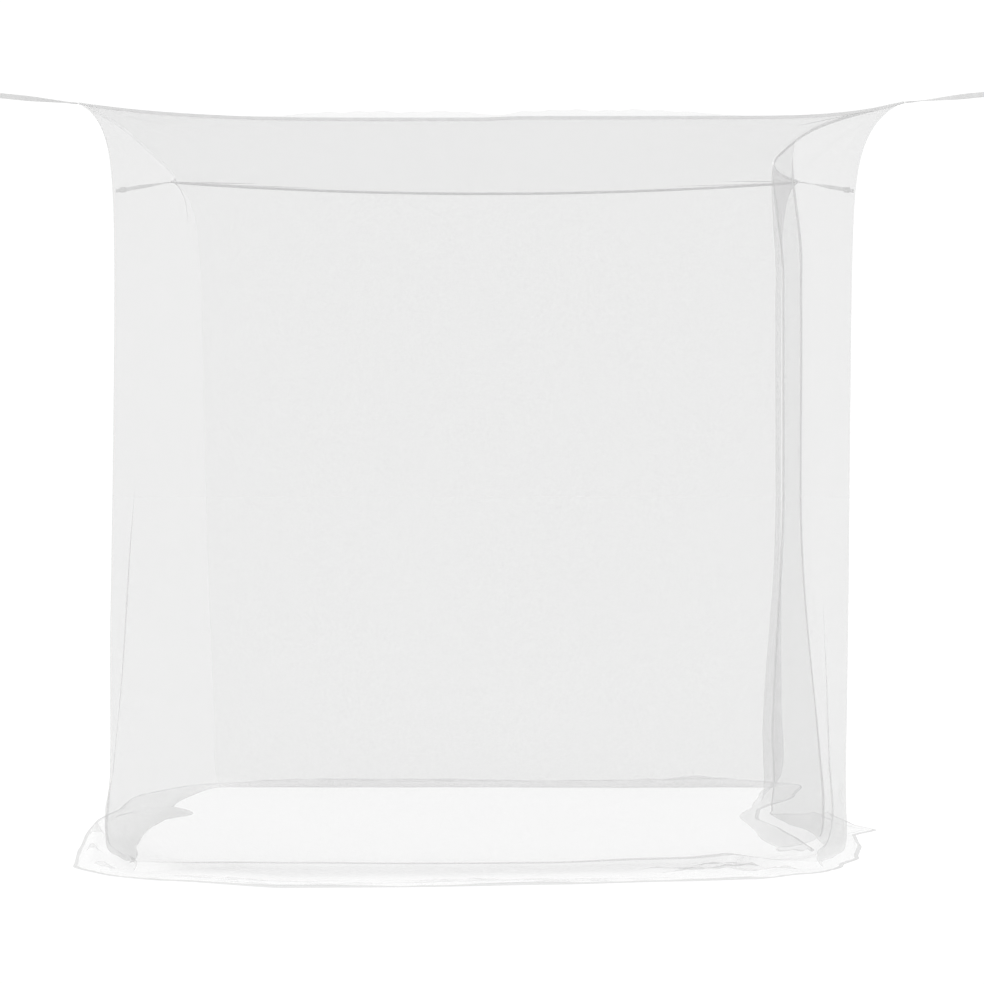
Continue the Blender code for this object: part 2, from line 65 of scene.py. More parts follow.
# ---------------------------------------------------------------- front wall
# One width of fine white mesh, sewn to the roof along its top edge and hemmed at its
# foot. It hangs from the seam, and the spare length lies folded in and out on the floor.
HALF_WIDTH, HALF_DEPTH = 1.05, 0.95
HANG = 2.0
TIP_CURL = 0.070
HUNG_FREE = 0.35
FOOT_DROP = 1.86
FOOT_STARTS = 1.00
LAST_HUNG = 1.74
CORNER_BULGE, CORNER_BULGE_AT = 0.014, 0.030
TURN_OVER = 0.42
NOSE = 0.005
HEADING = 0.004
LIES_AT, LOWEST = 0.0012, 0.0008
SIDE_CELLS, FRONT_CELLS = 22, 26
CROWDING = 0.75
TIPS = {
    #               x,           y,           z,     in_x,  in_y,  foot_x, foot_y
    "back_right": (HALF_WIDTH, HALF_DEPTH, 2.010, 0.082, 0.060, 0.000, 0.000),
    "front_right": (HALF_WIDTH, -HALF_DEPTH, 1.995, 0.119, 0.100, 0.006, 0.130),
    "front_left": (-HALF_WIDTH, -HALF_DEPTH, 1.992, 0.089, 0.100, -0.040, 0.070),
    "back_left": (-HALF_WIDTH, HALF_DEPTH, 2.010, 0.110, 0.060, 0.055, 0.000),
}
SIDES = {
    #        from,          to,            bow,   sag,  peak, near, far,  hung,  foot
    "right": ("back_right", "front_right", 0.196, 0.022, 0.50, 1.8, 4.8, -0.035, -0.010),
    "front": ("front_right", "front_left", 0.080, 0.028, 0.50, 8.0, 4.4, 0.000, 0.090),
    "left": ("front_left", "back_left", 0.075, 0.026, 0.50, 8.0, 3.0, 0.000, -0.045),
    "back": ("back_left", "back_right", 0.060, 0.045, 0.50, 2.0, 2.0, 0.000, -0.010),
}


def eased(share):
    """0 to 1, starting and ending gently."""
    share = np.clip(share, 0.0, 1.0)
    return share * share * (3.0 - 2.0 * share)


def window(place, start, end, over):
    """1 between two places, eased to 0 over a stretch inside each of them."""
    return eased((place - start) / over) * eased((end - place) / over)


def bell(away, wide):
    """1 at a place, falling off smoothly on both sides of it."""
    return np.exp(-((away / wide) ** 2))


def drawn_in(drop):
    """0 at the seam and 1 where the cloth hangs free of the pull of the ties."""
    return 1.0 - np.exp(-((drop / TIP_CURL) ** 0.8))


def corner(tip, drop):
    """Where a corner hangs in plan, at drops below the seam."""
    x, y, _, in_x, in_y, foot_x, foot_y = TIPS[tip]
    near, low = drawn_in(drop), (drop / HANG) ** 2
    at_x = x - math.copysign(1.0, x) * (in_x * near + foot_x * low)
    at_y = y - math.copysign(1.0, y) * (in_y * near + foot_y * low)
    return np.stack([at_x, at_y], axis=-1)


def pull(t, peak, near, far):
    """0 at both tips and 1 at the peak, as an edge stretched between two ties runs."""
    rising = 1.0 - np.clip(1.0 - t / peak, 0.0, 1.0) ** near
    falling = 1.0 - np.clip((t - peak) / (1.0 - peak), 0.0, 1.0) ** far
    return np.where(t < peak, rising, falling)


def side_ways(side):
    """The ways out of and along a side, in plan, and its length."""
    first, last = SIDES[side][:2]
    along = np.array(TIPS[last][:2]) - np.array(TIPS[first][:2])
    length = np.linalg.norm(along)
    along = along / length
    return np.array([-along[1], along[0]]), along, length


def corner_round(t):
    """How a wall rounds its corner, 1 a little way along from it."""
    share = t / CORNER_BULGE_AT
    return share * np.exp(1.0 - share)


def hang(side, t, drop):
    """Where a wall hangs in plan, at fractions of its side and drops below its seam."""
    first, last, bow, _, peak, near, far, hung, foot = SIDES[side]
    outward = side_ways(side)[0]
    t, drop = np.broadcast_arrays(t, drop)
    across = t[..., None]
    chord = corner(first, drop) * (1.0 - across) + corner(last, drop) * across
    seam_chord = corner(first, 0.0 * drop) * (1.0 - across) + corner(last, 0.0 * drop) * across
    chord_in = ((seam_chord - chord) * outward).sum(-1)
    middle_in = bow + hung * eased(drop / HUNG_FREE) + foot * (drop / HANG) ** 2
    inward = (middle_in - chord_in) * pull(t, peak, near, far)
    rounding = CORNER_BULGE * drawn_in(drop) * (corner_round(t) + corner_round(1.0 - t))
    return chord - outward * (inward - rounding)[..., None]


FRONT_STEP, FRONT_STEP_AT, FRONT_STEP_WIDE, FRONT_STEP_LEVEL = 0.0035, 0.52, 0.06, 0.35
FRONT_STEP_FROM, FRONT_STEP_TO, SEAM_FADE = 0.10, 0.90, 0.125


def seam_height(side, t):
    """How high a side's seam runs. The front's sits a little higher over its right half."""
    first, last, _, sag, peak, near, far = SIDES[side][:7]
    height = TIPS[first][2] * (1.0 - t) + TIPS[last][2] * t - sag * pull(t, peak, near, far)
    if side == "front":
        step = eased((FRONT_STEP_AT - t) / FRONT_STEP_WIDE) - FRONT_STEP_LEVEL
        height = height + FRONT_STEP * step * window(t, FRONT_STEP_FROM, FRONT_STEP_TO, SEAM_FADE)
    return height


def stops(side, count, first=0, last=None):
    """Fractions of a side from one of its cells to another, closer together near its tips."""
    cells = FRONT_CELLS if side in ("front", "back") else SIDE_CELLS
    share = np.linspace(first, cells if last is None else last, count) / cells
    return CROWDING * (0.5 - 0.5 * np.cos(np.pi * share)) + (1.0 - CROWDING) * share


def lie(rows, t):
    """The columns of a foot's table at t, half eased between its rows."""
    table = np.array(rows)
    at = np.clip(np.searchsorted(table[:, 0], t, side="left"), 1, len(table) - 1)
    low, high = table[at - 1], table[at]
    share = (t - low[:, 0]) / (high[:, 0] - low[:, 0])
    share = (0.5 * share + 0.5 * eased(share))[:, None]
    return (low + (high - low) * share)[:, 1:].T


TURN_EASE = 1.4


def spread(side, t, turned):
    """The way in which the foot spreads: straight out, but along the diagonal at a corner."""
    outward, along, length = side_ways(side)
    turn = np.zeros_like(t)
    if turned[0]:
        turn -= np.clip(1.0 - t * length / TURN_OVER, 0.0, 1.0) ** TURN_EASE
    if turned[1]:
        turn += np.clip(1.0 - (1.0 - t) * length / TURN_OVER, 0.0, 1.0) ** TURN_EASE
    angle = (turn * math.pi / 4.0)[:, None]
    return outward * np.cos(angle) + along * np.sin(angle)


CREASE_GROWS = 0.6


def crease_push(creases, t, drop):
    """Soft troughs and ridges that run down a wall, each with its own place and depth."""
    total = np.zeros(np.broadcast(t, drop).shape)
    for top, floor, starts, wide, deep in creases:
        centre = top + (floor - top) * drop / HANG
        total += deep * eased((drop - starts) / CREASE_GROWS) * bell(t - centre, wide)
    return total


UNEVEN_FROM, UNEVEN_GROWS = 0.15, 1.5
UNEVEN_WAVES = (
    # deep, pitch, slant, phase
    (0.0030, 7.0, 1.1, 1.0),
    (0.0022, 19.0, -1.7, 2.3),
    (0.0010, 47.0, 0.9, 4.1),
)


def unevenness(t, drop, phase):
    """The slow in and out of cloth that nothing holds between its corners."""
    waves = 0.0
    for deep, pitch, slant, turn in UNEVEN_WAVES:
        waves = waves + deep * np.sin(pitch * t + slant * drop + turn * phase)
    return eased((drop - UNEVEN_FROM) / UNEVEN_GROWS) * waves


PLEAT_DEEP, PLEAT_PITCH, PLEAT_NEAR, PLEAT_REACH = 0.0030, 13.0, 0.06, 0.12


def tip_pleats(t, drop, length, phase):
    """Folds that fan out from both tips, where the ties pull the cloth to a point."""
    total = 0.0
    for away in (t * length, (1.0 - t) * length):
        reach = np.hypot(away, drop)
        angle = np.arctan2(drop, away + 1e-6)
        fan = np.sin(angle * PLEAT_PITCH + phase) * np.sin(2.0 * angle)
        total = total + PLEAT_DEEP * fan * (reach / PLEAT_NEAR) * np.exp(-reach / PLEAT_REACH)
    return total


def smoothed(controls, steps):
    """A smooth curve through control points, which lie along axis 1."""
    first = 2 * controls[:, :1] - controls[:, 1:2]
    last = 2 * controls[:, -1:] - controls[:, -2:-1]
    p = np.concatenate([first, controls, last], axis=1)
    out = []
    for i in range(1, p.shape[1] - 2):
        a, b, c, d = p[:, i - 1], p[:, i], p[:, i + 1], p[:, i + 2]
        for s in np.arange(steps) / steps:
            bend = s * s * (a - 2.5 * b + 2.0 * c - 0.5 * d) + s**3 * (1.5 * (b - c) + 0.5 * (d - a))
            out.append(b + 0.5 * s * (c - a) + bend)
    out.append(p[:, -2])
    return np.stack(out, axis=1)


RIDGE_FADE, CRUMPLE = 0.05, 0.0012


def lying_height(t, reach, inner, outer, ridges, lumps, phase):
    """How high the cloth that lies on the floor stands: ridges that follow the hem, lumps
    where it is bunched, and a fine crumple all over."""
    from_hem, from_fold = outer - reach, reach + inner
    rest = eased((from_fold - 0.02) / 0.03) * eased(from_hem / 0.012 + 0.2)
    z = np.full_like(t, LIES_AT)
    for at, wide, tall, wander, pitch, start, end in ridges:
        line = at + wander * np.sin(pitch * t + 9.0 * at + phase)
        shown = window(t, start, end, RIDGE_FADE)
        uneven = 0.7 + 0.3 * np.sin(0.8 * pitch * t + 31.0 * at)
        z = z + tall * uneven * shown * rest * bell(from_hem - line, wide)
    for where, at, long, wide, tall in lumps:
        z = z + tall * rest * bell(t - where, long) * bell(from_hem - at, wide)
    crumple = 1.0 + np.sin(61.0 * t + 160.0 * reach + phase) * np.sin(29.0 * t - 75.0 * reach)
    return z + CRUMPLE * crumple * eased(from_fold / 0.05) * eased(from_hem / 0.02)


CORNER_HELD, HEM_LOOSE = 0.012, 0.2
HUNG_ROWS, BEND_STEPS, LYING_ROWS = 74, 5, 52
ROWS_CROWD = 1.5
BEND_SECTION = (
    # out by: roll, inner, nose; up by: height, lift
    (0.70, 0.000, 0, 0.165, 0.0),
    (1.00, 0.000, 0, 0.115, 0.0),
    (0.60, 0.000, 0, 0.075, 0.0),
    (0.00, -0.060, 0, 0.030, 0.8),
    (0.00, -0.320, 0, 0.012, 1.0),
    (0.00, -0.640, 0, 0.004, 0.8),
    (0.00, -0.920, 0, 0.003, 0.7),
    (0.00, -1.000, -1, 0.001, 0.4),
    (0.00, -0.985, 0, LIES_AT, 0.0),
)


def wall_points(side, cells, turned, foot, creases, ridges, lumps, phase, columns, **more):
    """The points of a wall, by column and row, from its heading down to its hem. more can
    hold frill, behind, curled and swung, which are functions of the place along the wall."""
    behind, curled, swung, frill = (more.get(key) for key in ("behind", "curled", "swung", "frill"))
    t = stops(side, columns + 1, *cells)
    outward, _, length = side_ways(side)
    held = np.ones_like(t)
    if turned[0]:
        held = held * eased(t / CORNER_HELD)
    if turned[1]:
        held = held * eased((1.0 - t) / CORNER_HELD)

    def hung_at(drop, loose=1.0):
        along = t[:, None] + (swung(t[:, None], drop) if swung else 0.0 * drop)
        soft = crease_push(creases, along, drop) + unevenness(along, drop, phase)
        soft = (soft + tip_pleats(along, drop, length, phase)) * held[:, None] * loose
        inside = behind(along, drop) if behind else 0.0
        inside = inside + (curled(t[:, None], drop) if curled else 0.0)
        return hang(side, along, drop) + outward * (soft - inside)[..., None]

    drops = LAST_HUNG * np.linspace(0.0, 1.0, HUNG_ROWS)[None, :] ** ROWS_CROWD
    inner, outer, lift, roll, shift = lie(foot, t)
    lean = eased((drops - FOOT_STARTS) / (FOOT_DROP - FOOT_STARTS)) * shift[:, None]
    height = seam_height(side, t)[:, None] * (1.0 - drops / HANG)
    hung = np.concatenate([hung_at(drops) - outward * lean[..., None], height[..., None]], axis=-1)
    top = hung[:, :1].copy()
    top[:, 0, 2] += HEADING + (frill(t) if frill else 0.0)

    foot_drop = np.full((1, 1), FOOT_DROP)
    base = hung_at(foot_drop)[:, 0] - outward * shift[:, None]
    settled = hung_at(foot_drop, HEM_LOOSE)[:, 0] - outward * shift[:, None]
    way = spread(side, t, turned)
    upper = []
    for by_roll, by_inner, by_nose, tall, by_lift in BEND_SECTION:
        reach = by_roll * roll + by_inner * inner + by_nose * NOSE
        z = tall + by_lift * lift
        upper.append(np.concatenate([base + way * reach[:, None], z[:, None]], axis=1))
    controls = np.concatenate([hung[:, -2:], np.stack(upper, axis=1)], axis=1)
    bend = smoothed(controls, BEND_STEPS)[:, BEND_STEPS:]
    lying = []
    for share in np.linspace(0.02, 1.0, LYING_ROWS):
        reach = share * (outer + inner) - inner
        z = lying_height(t, reach, inner, outer, ridges, lumps, phase)
        root = base + (settled - base) * eased(share)
        lying.append(np.concatenate([root + way * reach[:, None], z[:, None]], axis=1))
    points = np.concatenate([top, hung[:, :-1], bend, np.stack(lying, axis=1)], axis=1)
    points[..., 2] = np.maximum(points[..., 2], LOWEST)
    return points


def mapped_object(mesh, flat):
    """The object of a mesh, smooth, with the flat place of each point as its map."""
    layer = mesh.uv_layers.new(name="cloth")
    corners = np.empty(len(mesh.loops), dtype=np.int64)
    mesh.loops.foreach_get("vertex_index", corners)
    layer.data.foreach_set("uv", flat[corners].astype(np.float32).ravel())
    mesh.shade_smooth()
    made = bpy.data.objects.new(mesh.name, mesh)
    bpy.context.collection.objects.link(made)
    return made


def sheet_object(name, points, width, from_last=False):
    """A single sheet of mesh from a grid of points. Its map is in metres of flat cloth:
    along it from its first column, or from its last, and up it from the hem."""
    columns, rows = points.shape[:2]
    index = np.arange(columns * rows).reshape(columns, rows)
    corners = [index[:-1, :-1], index[1:, :-1], index[1:, 1:], index[:-1, 1:]]
    quads = np.stack(corners, axis=-1).reshape(-1, 4)
    mesh = bpy.data.meshes.new(name)
    mesh.from_pydata(points.reshape(-1, 3).tolist(), [], quads.tolist())
    steps = np.linalg.norm(np.diff(points, axis=1), axis=-1)
    down = np.concatenate([np.zeros((columns, 1)), np.cumsum(steps, axis=1)], axis=1)
    up = down[:, -1:] - down
    along = np.linspace(0.0, width, columns)[:, None] + 0.0 * up
    if from_last:
        along = width - along
    return mapped_object(mesh, np.stack([along, up], axis=-1).reshape(-1, 2))


class Signal:
    """A value that varies over a finish. Sums and products of signals add Math nodes."""

    def __init__(self, finish, socket):
        self.finish, self.socket = finish, socket

    def math(self, operation, *ends):
        return self.finish.add("ShaderNodeMath", {"operation": operation}, dict(enumerate(ends)))

    def __add__(self, other):
        return self.math("ADD", self, other)

    def __sub__(self, other):
        return self.math("SUBTRACT", self, other)

    def __rsub__(self, other):
        return self.math("SUBTRACT", other, self)

    def __mul__(self, other):
        return self.math("MULTIPLY", self, other)

    def __lt__(self, other):
        return self.math("LESS_THAN", self, other)

    def __gt__(self, other):
        return self.math("GREATER_THAN", self, other)

    __radd__, __rmul__ = __add__, __mul__

    def most(self, other):
        return self.math("MAXIMUM", self, other)

    def least(self, other):
        return self.math("MINIMUM", self, other)

    def wave(self, pitch):
        return self.math("COSINE", self * (2.0 * math.pi / pitch))

    def fraction(self):
        return self.math("FRACT", self)

    def near(self, place, within):
        away = self - place
        return away * away < within * within

    def clamped(self):
        return self.most(0.0).least(1.0)

    def output(self, name):
        return Signal(self.finish, self.socket.node.outputs[name])


class Finish:
    """A material on its Principled shader, with one method that adds any node."""

    def __init__(self, name, roughness):
        self.material = bpy.data.materials.new(name)
        self.material.use_nodes = True
        self.tree = self.material.node_tree
        self.shader = self.tree.nodes["Principled BSDF"]
        self.shader.inputs["Roughness"].default_value = roughness
        self.shader.inputs["Specular IOR Level"].default_value = 0.2

    def feed(self, socket, value):
        if isinstance(value, Signal):
            self.tree.links.new(value.socket, socket)
        else:
            socket.default_value = value

    def add(self, kind, settings, inputs):
        node = self.tree.nodes.new(kind)
        for name, value in settings.items():
            setattr(node, name, value)
        for name, value in inputs.items():
            self.feed(node.inputs[name], value)
        return Signal(self, node.outputs[0])

    def tint(self, share, low, high):
        """A colour between two, by a signal."""
        ends = {"Factor": share, 6: (*low, 1.0), 7: (*high, 1.0)}
        return self.add("ShaderNodeMix", {"data_type": "RGBA"}, ends).output(2)

    def noise(self, place, scale, detail):
        return self.add("ShaderNodeTexNoise", {}, {"Vector": place, "Scale": scale, "Detail": detail})

    def bump(self, height, strength, distance):
        ends = {"Height": height, "Strength": strength, "Distance": distance}
        return self.add("ShaderNodeBump", {}, ends)

    def cloth_place(self):
        """The place on the flat cloth, and its two parts: along it and up it."""
        place = self.add("ShaderNodeUVMap", {"uv_map": "cloth"}, {})
        parts = self.add("ShaderNodeSeparateXYZ", {}, {"Vector": place})
        return place, parts, parts.output("Y")

    def set(self, name, value):
        self.feed(self.shader.inputs[name], value)


MESH_PITCH = 0.0016
HEM_WIDE = 0.012
STITCH_ROW, STITCH_HALF = 0.86 * HEM_WIDE, 0.0006
STITCHES_PER_METRE, STITCH_GAP = 260.0, 0.3
STITCH_DENSE, STITCH_RELIEF, THREAD_RELIEF, RELIEF_TALL = 0.2, 2.0, 0.25, 0.0003
DRIFT_SIZE, SLUB_SIZE, PATCH_SIZE = 3.0, 90.0, 9.0
IN_GAPS, ON_THREADS, TONE_SPREAD, DRIFT_TONE, DENSEST = 0.4, 0.9, 0.03, 0.25, 0.95
# Painted floor light: how far up from the hem a lying wall's threads are painted lighter, how fast that
# fades, how strong it is, and how much less of it the turned hem gets.
PAINTED_LIGHT_UP_TO, PAINTED_LIGHT_FADES, PAINTED_LIGHT_SHARE, HEM_LESS_PAINTED_LIGHT = 0.17, 16.0, 0.8, 0.8
FOLD_FROM, FOLD_RISES, FOLD_TO, FOLD_FALLS = 0.15, 20.0, 0.36, 12.0
BUNCHED_TO, BUNCH_FADES, BUNCH_LEAST, BUNCH_PATCHY, FOLD_DENSE = 0.60, 4.0, 0.15, 0.5, 0.06
# THREAD_SHADE is the threads' own colour, and random drift moves them a little way up from it.
# THREAD_LIGHT is the paler colour that painted floor light gives them near the hem.
THREAD_SHADE, THREAD_LIGHT = (0.55, 0.55, 0.55), (0.79, 0.79, 0.79)


def stitches(along, across, row, half, per_metre, gap):
    """A row of stitches at one place across the cloth, broken by a gap after each."""
    return across.near(row, half) * ((along * per_metre).fraction() > gap)


def netting(name, cover, free_edge=False, lies=True, folded=False):
    """Hexagonal mesh: cover is the share of the light that its threads stop. Two more
    thicknesses lie along the hem at the foot, and along a leaf's free edge. A wall's threads are
    painted paler near its hem, as painted light from the floor it lies on, and the wall is denser
    where it lies folded."""
    finish = Finish(name, roughness=0.9)
    place, along, up = finish.cloth_place()
    slant, rise = along * 0.5, up * 0.866
    cells = along.wave(MESH_PITCH) + (slant + rise).wave(MESH_PITCH) + (slant - rise).wave(MESH_PITCH)
    threads = 1.0 - (cells + 1.5) * (1.0 / 4.5)
    drift = finish.noise(place, DRIFT_SIZE, 3.0)
    slub = finish.noise(place, SLUB_SIZE, 1.0)
    plain = cover * IN_GAPS + threads * (cover * ON_THREADS)
    plain = plain + (drift - 0.5) * TONE_SPREAD + (slub - 0.5) * TONE_SPREAD
    thread_tone_and_painted_light = drift * DRIFT_TONE
    turned = up < HEM_WIDE
    if folded:
        doubled = ((up - FOLD_FROM) * FOLD_RISES).least((FOLD_TO - up) * FOLD_FALLS).clamped()
        bunched = ((BUNCHED_TO - along) * BUNCH_FADES).most(BUNCH_LEAST).least(1.0)
        patches = finish.noise(place, PATCH_SIZE, 2.0) - 0.5
        plain = plain + doubled * (patches * bunched * BUNCH_PATCHY + FOLD_DENSE)
    # Painted light: where the wall lies on the glowing floor near its hem, its thread colour is painted
    # lighter, and less so on the turned hem.
    if lies:
        painted_floor_light = ((PAINTED_LIGHT_UP_TO - up) * PAINTED_LIGHT_FADES).clamped() * PAINTED_LIGHT_SHARE
        thread_tone_and_painted_light = thread_tone_and_painted_light + painted_floor_light * (1.0 - turned * HEM_LESS_PAINTED_LIGHT)
    stitch = stitches(along, up, STITCH_ROW, STITCH_HALF, STITCHES_PER_METRE, STITCH_GAP)
    if free_edge:
        turned = turned.most(along < HEM_WIDE)
        edge = stitches(up, along, STITCH_ROW, STITCH_HALF, STITCHES_PER_METRE, STITCH_GAP)
        stitch = stitch.most(edge)
    hemmed = 1.0 - (1.0 - cover) ** 3
    alpha = plain + turned * (hemmed - cover) + stitch * STITCH_DENSE
    finish.set("Alpha", alpha.least(DENSEST))
    finish.set("Base Color", finish.tint(thread_tone_and_painted_light, THREAD_SHADE, THREAD_LIGHT))
    finish.set("Normal", finish.bump(threads + stitch * STITCH_RELIEF, THREAD_RELIEF, RELIEF_TALL))
    return finish.material


FRILL_TALL, FRILL_FROM, FRILL_TO = 0.018, 0.18, 0.80
FRILL_DIP, FRILL_DIP_AT, FRILL_DIP_WIDE = 0.7, 0.49, 0.025


def front_frill(t):
    """The seam allowance that stands up along the front, uneven, with a dip at the middle."""
    stands = window(t, FRILL_FROM, FRILL_TO, SEAM_FADE)
    dip = 1.0 - FRILL_DIP * bell(t - FRILL_DIP_AT, FRILL_DIP_WIDE)
    return FRILL_TALL * stands * dip * (0.85 + 0.15 * np.sin(131.0 * t) * np.sin(53.0 * t))


FRONT_FOOT = (
    # at,   inner, outer,  lift,  roll,  shift
    (0.00, 0.070, -0.030, 0.030, 0.006, 0.000),
    (0.06, 0.130, 0.000, 0.028, 0.006, 0.000),
    (0.13, 0.220, 0.065, 0.034, 0.006, 0.000),
    (0.22, 0.190, 0.095, 0.022, 0.004, 0.000),
    (0.40, 0.140, 0.145, 0.014, 0.002, 0.000),
    (0.60, 0.135, 0.180, 0.014, 0.002, 0.000),
    (0.76, 0.145, 0.190, 0.016, 0.004, 0.000),
    (0.90, 0.130, 0.090, 0.020, 0.006, 0.000),
    (1.00, 0.080, 0.010, 0.036, 0.012, 0.000),
)
FRONT_CREASES = (
    # top,   floor, starts, wide,  deep
    (0.020, 0.016, 1.15, 0.018, 0.010),
    (0.700, 0.740, 0.25, 0.090, 0.005),
    (0.330, 0.300, 0.45, 0.110, -0.006),
    (0.120, 0.150, 0.90, 0.050, 0.007),
)
FRONT_RIDGES = (
    # from the hem, wide, tall, wander, pitch, from, to
    (0.016, 0.007, 0.0070, 0.003, 23.0, 0.10, 0.96),
    (0.040, 0.009, 0.0080, 0.005, 17.0, 0.20, 0.94),
    (0.068, 0.009, 0.0070, 0.006, 29.0, 0.45, 0.92),
    (0.110, 0.012, 0.0110, 0.022, 33.0, 0.03, 0.27),
    (0.165, 0.010, 0.0120, 0.018, 47.0, 0.05, 0.25),
    (0.220, 0.010, 0.0120, 0.016, 39.0, 0.06, 0.22),
)
FRONT_LUMPS = (
    # where, from the hem, long, wide, tall
    (0.060, 0.070, 0.018, 0.018, 0.012),
    (0.150, 0.150, 0.016, 0.030, 0.010),
    (0.205, 0.100, 0.014, 0.020, 0.010),
    (0.255, 0.160, 0.018, 0.024, 0.009),
)
front_points = wall_points(
    "front", (0, FRONT_CELLS), (True, True), FRONT_FOOT, FRONT_CREASES, FRONT_RIDGES, FRONT_LUMPS,
    phase=0.4, columns=250, frill=front_frill,
)
front_wall = sheet_object("front_wall_cloth", front_points, 2.0 * HALF_WIDTH)
front_wall.data.materials.append(netting("netting_front", 0.24, folded=True))
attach(front_wall, "root")
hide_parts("front_wall")

# ---------------------------------------------------------------- left wall
# The same mesh, one width as deep as the roof. Its foot is spread outwards, and one tongue
# of it lies inwards past the middle. A bunch stands where it meets the front wall.
LEFT_FOOT = (
    # at,   inner, outer, lift,  roll,  shift
    (0.00, 0.080, 0.010, 0.036, 0.012, 0.000),
    (0.10, 0.055, 0.105, 0.030, 0.010, 0.000),
    (0.25, 0.025, 0.130, 0.024, 0.010, 0.000),
    (0.45, 0.020, 0.155, 0.018, 0.012, 0.000),
    (0.57, 0.040, 0.160, 0.016, 0.008, 0.000),
    (0.63, 0.110, 0.150, 0.016, 0.006, 0.000),
    (0.70, 0.030, 0.130, 0.014, 0.006, 0.000),
    (0.85, 0.020, 0.150, 0.014, 0.006, 0.000),
    (1.00, 0.020, 0.090, 0.014, 0.008, 0.000),
)
LEFT_CREASES = (
    # top,   floor, starts, wide,  deep
    (0.508, 0.061, 0.65, 0.016, 0.010),
    (0.035, 0.035, 1.30, 0.035, -0.014),
    (0.560, 0.620, 0.40, 0.080, -0.007),
    (0.850, 0.820, 0.20, 0.060, 0.006),
)
LEFT_RIDGES = (
    # from the hem, wide, tall, wander, pitch, from, to
    (0.020, 0.008, 0.006, 0.006, 19.0, 0.10, 0.90),
    (0.075, 0.012, 0.009, 0.012, 27.0, 0.30, 0.80),
)
LEFT_LUMPS = (
    # where, from the hem, long, wide, tall
    (0.310, 0.040, 0.060, 0.018, 0.058),
    (0.150, 0.045, 0.050, 0.020, 0.042),
    (0.050, 0.040, 0.024, 0.014, 0.022),
    (0.560, 0.090, 0.050, 0.026, 0.016),
)
left_points = wall_points(
    "left", (0, SIDE_CELLS), (True, True), LEFT_FOOT, LEFT_CREASES, LEFT_RIDGES, LEFT_LUMPS,
    phase=1.9, columns=220,
)
left_wall = sheet_object("left_wall_cloth", left_points, 2.0 * HALF_DEPTH)
left_wall.data.materials.append(netting("netting_left", 0.25))
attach(left_wall, "root")
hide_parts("left_wall")

# ---------------------------------------------------------------- back wall
# The same mesh, as wide as the roof. Its foot lies mostly behind the net.
BACK_FOOT = (
    # at,   inner, outer, lift,  roll,  shift
    (0.00, 0.020, 0.090, 0.014, 0.008, 0.000),
    (0.20, 0.020, 0.200, 0.012, 0.004, 0.000),
    (0.45, 0.016, 0.160, 0.012, 0.004, 0.000),
    (0.70, 0.020, 0.150, 0.012, 0.004, 0.000),
    (0.88, 0.024, 0.210, 0.018, 0.006, 0.000),
    (1.00, 0.040, 0.100, 0.022, 0.010, 0.000),
)
BACK_CREASES = (
    # top,   floor, starts, wide,  deep
    (0.150, 0.120, 0.30, 0.060, 0.006),
    (0.520, 0.560, 0.40, 0.100, -0.006),
    (0.870, 0.900, 0.25, 0.060, 0.008),
)
BACK_RIDGES = (
    # from the hem, wide, tall, wander, pitch, from, to
    (0.022, 0.009, 0.005, 0.006, 21.0, 0.06, 0.94),
    (0.080, 0.014, 0.007, 0.012, 15.0, 0.10, 0.90),
)
BACK_LUMPS = (
    # where, from the hem, long, wide, tall
    (0.850, 0.090, 0.040, 0.030, 0.018),
    (0.240, 0.110, 0.050, 0.034, 0.012),
)
back_points = wall_points(
    "back", (0, FRONT_CELLS), (True, True), BACK_FOOT, BACK_CREASES, BACK_RIDGES, BACK_LUMPS,
    phase=3.1, columns=240,
)
back_wall = sheet_object("back_wall_cloth", back_points, 2.0 * HALF_WIDTH)
back_wall.data.materials.append(netting("netting_back", 0.30))
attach(back_wall, "root")
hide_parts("back_wall")

# ---------------------------------------------------------------- the two leaves on the right
# The right wall is cut in two leaves that overlap by about a third of the side and make
# the way in. Each has a hem down its free edge, and the rear leaf hangs inside the other.
FRONT_LEAF_STARTS, REAR_LEAF_ENDS = 9, 14
LEAF_SEAM_STEP, LEAF_APART = 0.0024, 0.012
LEAF_SWINGS = 0.15
HEM_CURL, CURL_GROWS = 0.012, 0.12
REAR_CURL, FRONT_CURL = 0.011, -0.009
MEETS = float(stops("right", 1, FRONT_LEAF_STARTS, FRONT_LEAF_STARTS)[0])
ENDS = float(stops("right", 1, REAR_LEAF_ENDS, REAR_LEAF_ENDS)[0])
FRONT_LEAF_FOOT = (
    # at,    inner, outer,  lift,  roll,  shift
    (0.350, 0.000, 0.185, 0.012, 0.006, 0.040),
    (0.500, 0.000, 0.190, 0.014, 0.010, 0.000),
    (0.565, 0.000, 0.205, 0.014, 0.012, -0.036),
    (0.630, 0.000, 0.115, 0.014, 0.010, -0.046),
    (0.740, 0.008, 0.100, 0.016, 0.010, -0.045),
    (0.860, 0.030, 0.080, 0.020, 0.008, -0.020),
    (0.940, 0.050, 0.020, 0.026, 0.006, 0.000),
    (1.000, 0.070, -0.030, 0.030, 0.006, 0.000),
)
REAR_LEAF_FOOT = (
    # at,   inner, outer,  lift,  roll,  shift
    (0.00, 0.040, 0.100, 0.022, 0.010, 0.000),
    (0.14, 0.050, 0.070, 0.024, 0.010, 0.010),
    (0.30, 0.036, -0.014, 0.018, 0.006, 0.036),
    (0.40, 0.066, -0.018, 0.018, 0.006, 0.048),
    (0.50, 0.100, -0.018, 0.016, 0.004, 0.005),
    (0.60, 0.128, -0.018, 0.014, 0.004, -0.022),
    (0.70, 0.120, -0.018, 0.014, 0.002, -0.033),
)
